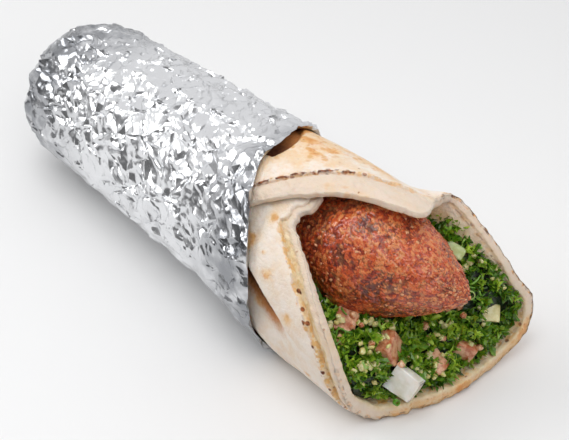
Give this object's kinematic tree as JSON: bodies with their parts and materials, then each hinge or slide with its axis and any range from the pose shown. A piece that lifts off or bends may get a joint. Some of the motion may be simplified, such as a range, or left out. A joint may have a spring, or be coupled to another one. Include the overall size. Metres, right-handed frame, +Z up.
{
  "type": "kibbeh wrap",
  "caption": "Fried torpedo-shaped kibbeh on tabbouleh, rolled in a two-ply flatbread whose lower end is held in a crumpled foil sleeve; the mouth is open at one end.",
  "frame": {"origin": "centre of the wrap's footprint, on the surface it lies on", "axes": "+X along the roll towards its open mouth, +Z up, +Y towards the roll's right side seen from behind the closed end"},
  "size_m": [0.2192, 0.0848, 0.0706],
  "materials": {
    "foil": "bright crumpled foil",
    "baked_bread": "dry baked flatbread with toasted spots",
    "fried_crust": "coarse fried crust with a thin film of oil",
    "parsley": "moist chopped leaf",
    "tomato_flesh": "wet",
    "onion_flesh": "wet, translucent",
    "cucumber_flesh": "wet, translucent"
  },
  "bodies": {
    "root": {"foil_sleeve": "foil", "flatbread": "baked_bread", "kibbeh": "fried_crust", "tabbouleh": "parsley", "tomato_1": "tomato_flesh", "tomato_2": "tomato_flesh", "tomato_3": "tomato_flesh", "tomato_4": "tomato_flesh", "tomato_5": "tomato_flesh", "onion_1": "onion_flesh", "onion_2": "onion_flesh", "onion_3": "onion_flesh", "cucumber_1": "cucumber_flesh"}
  },
  "joints": []
}
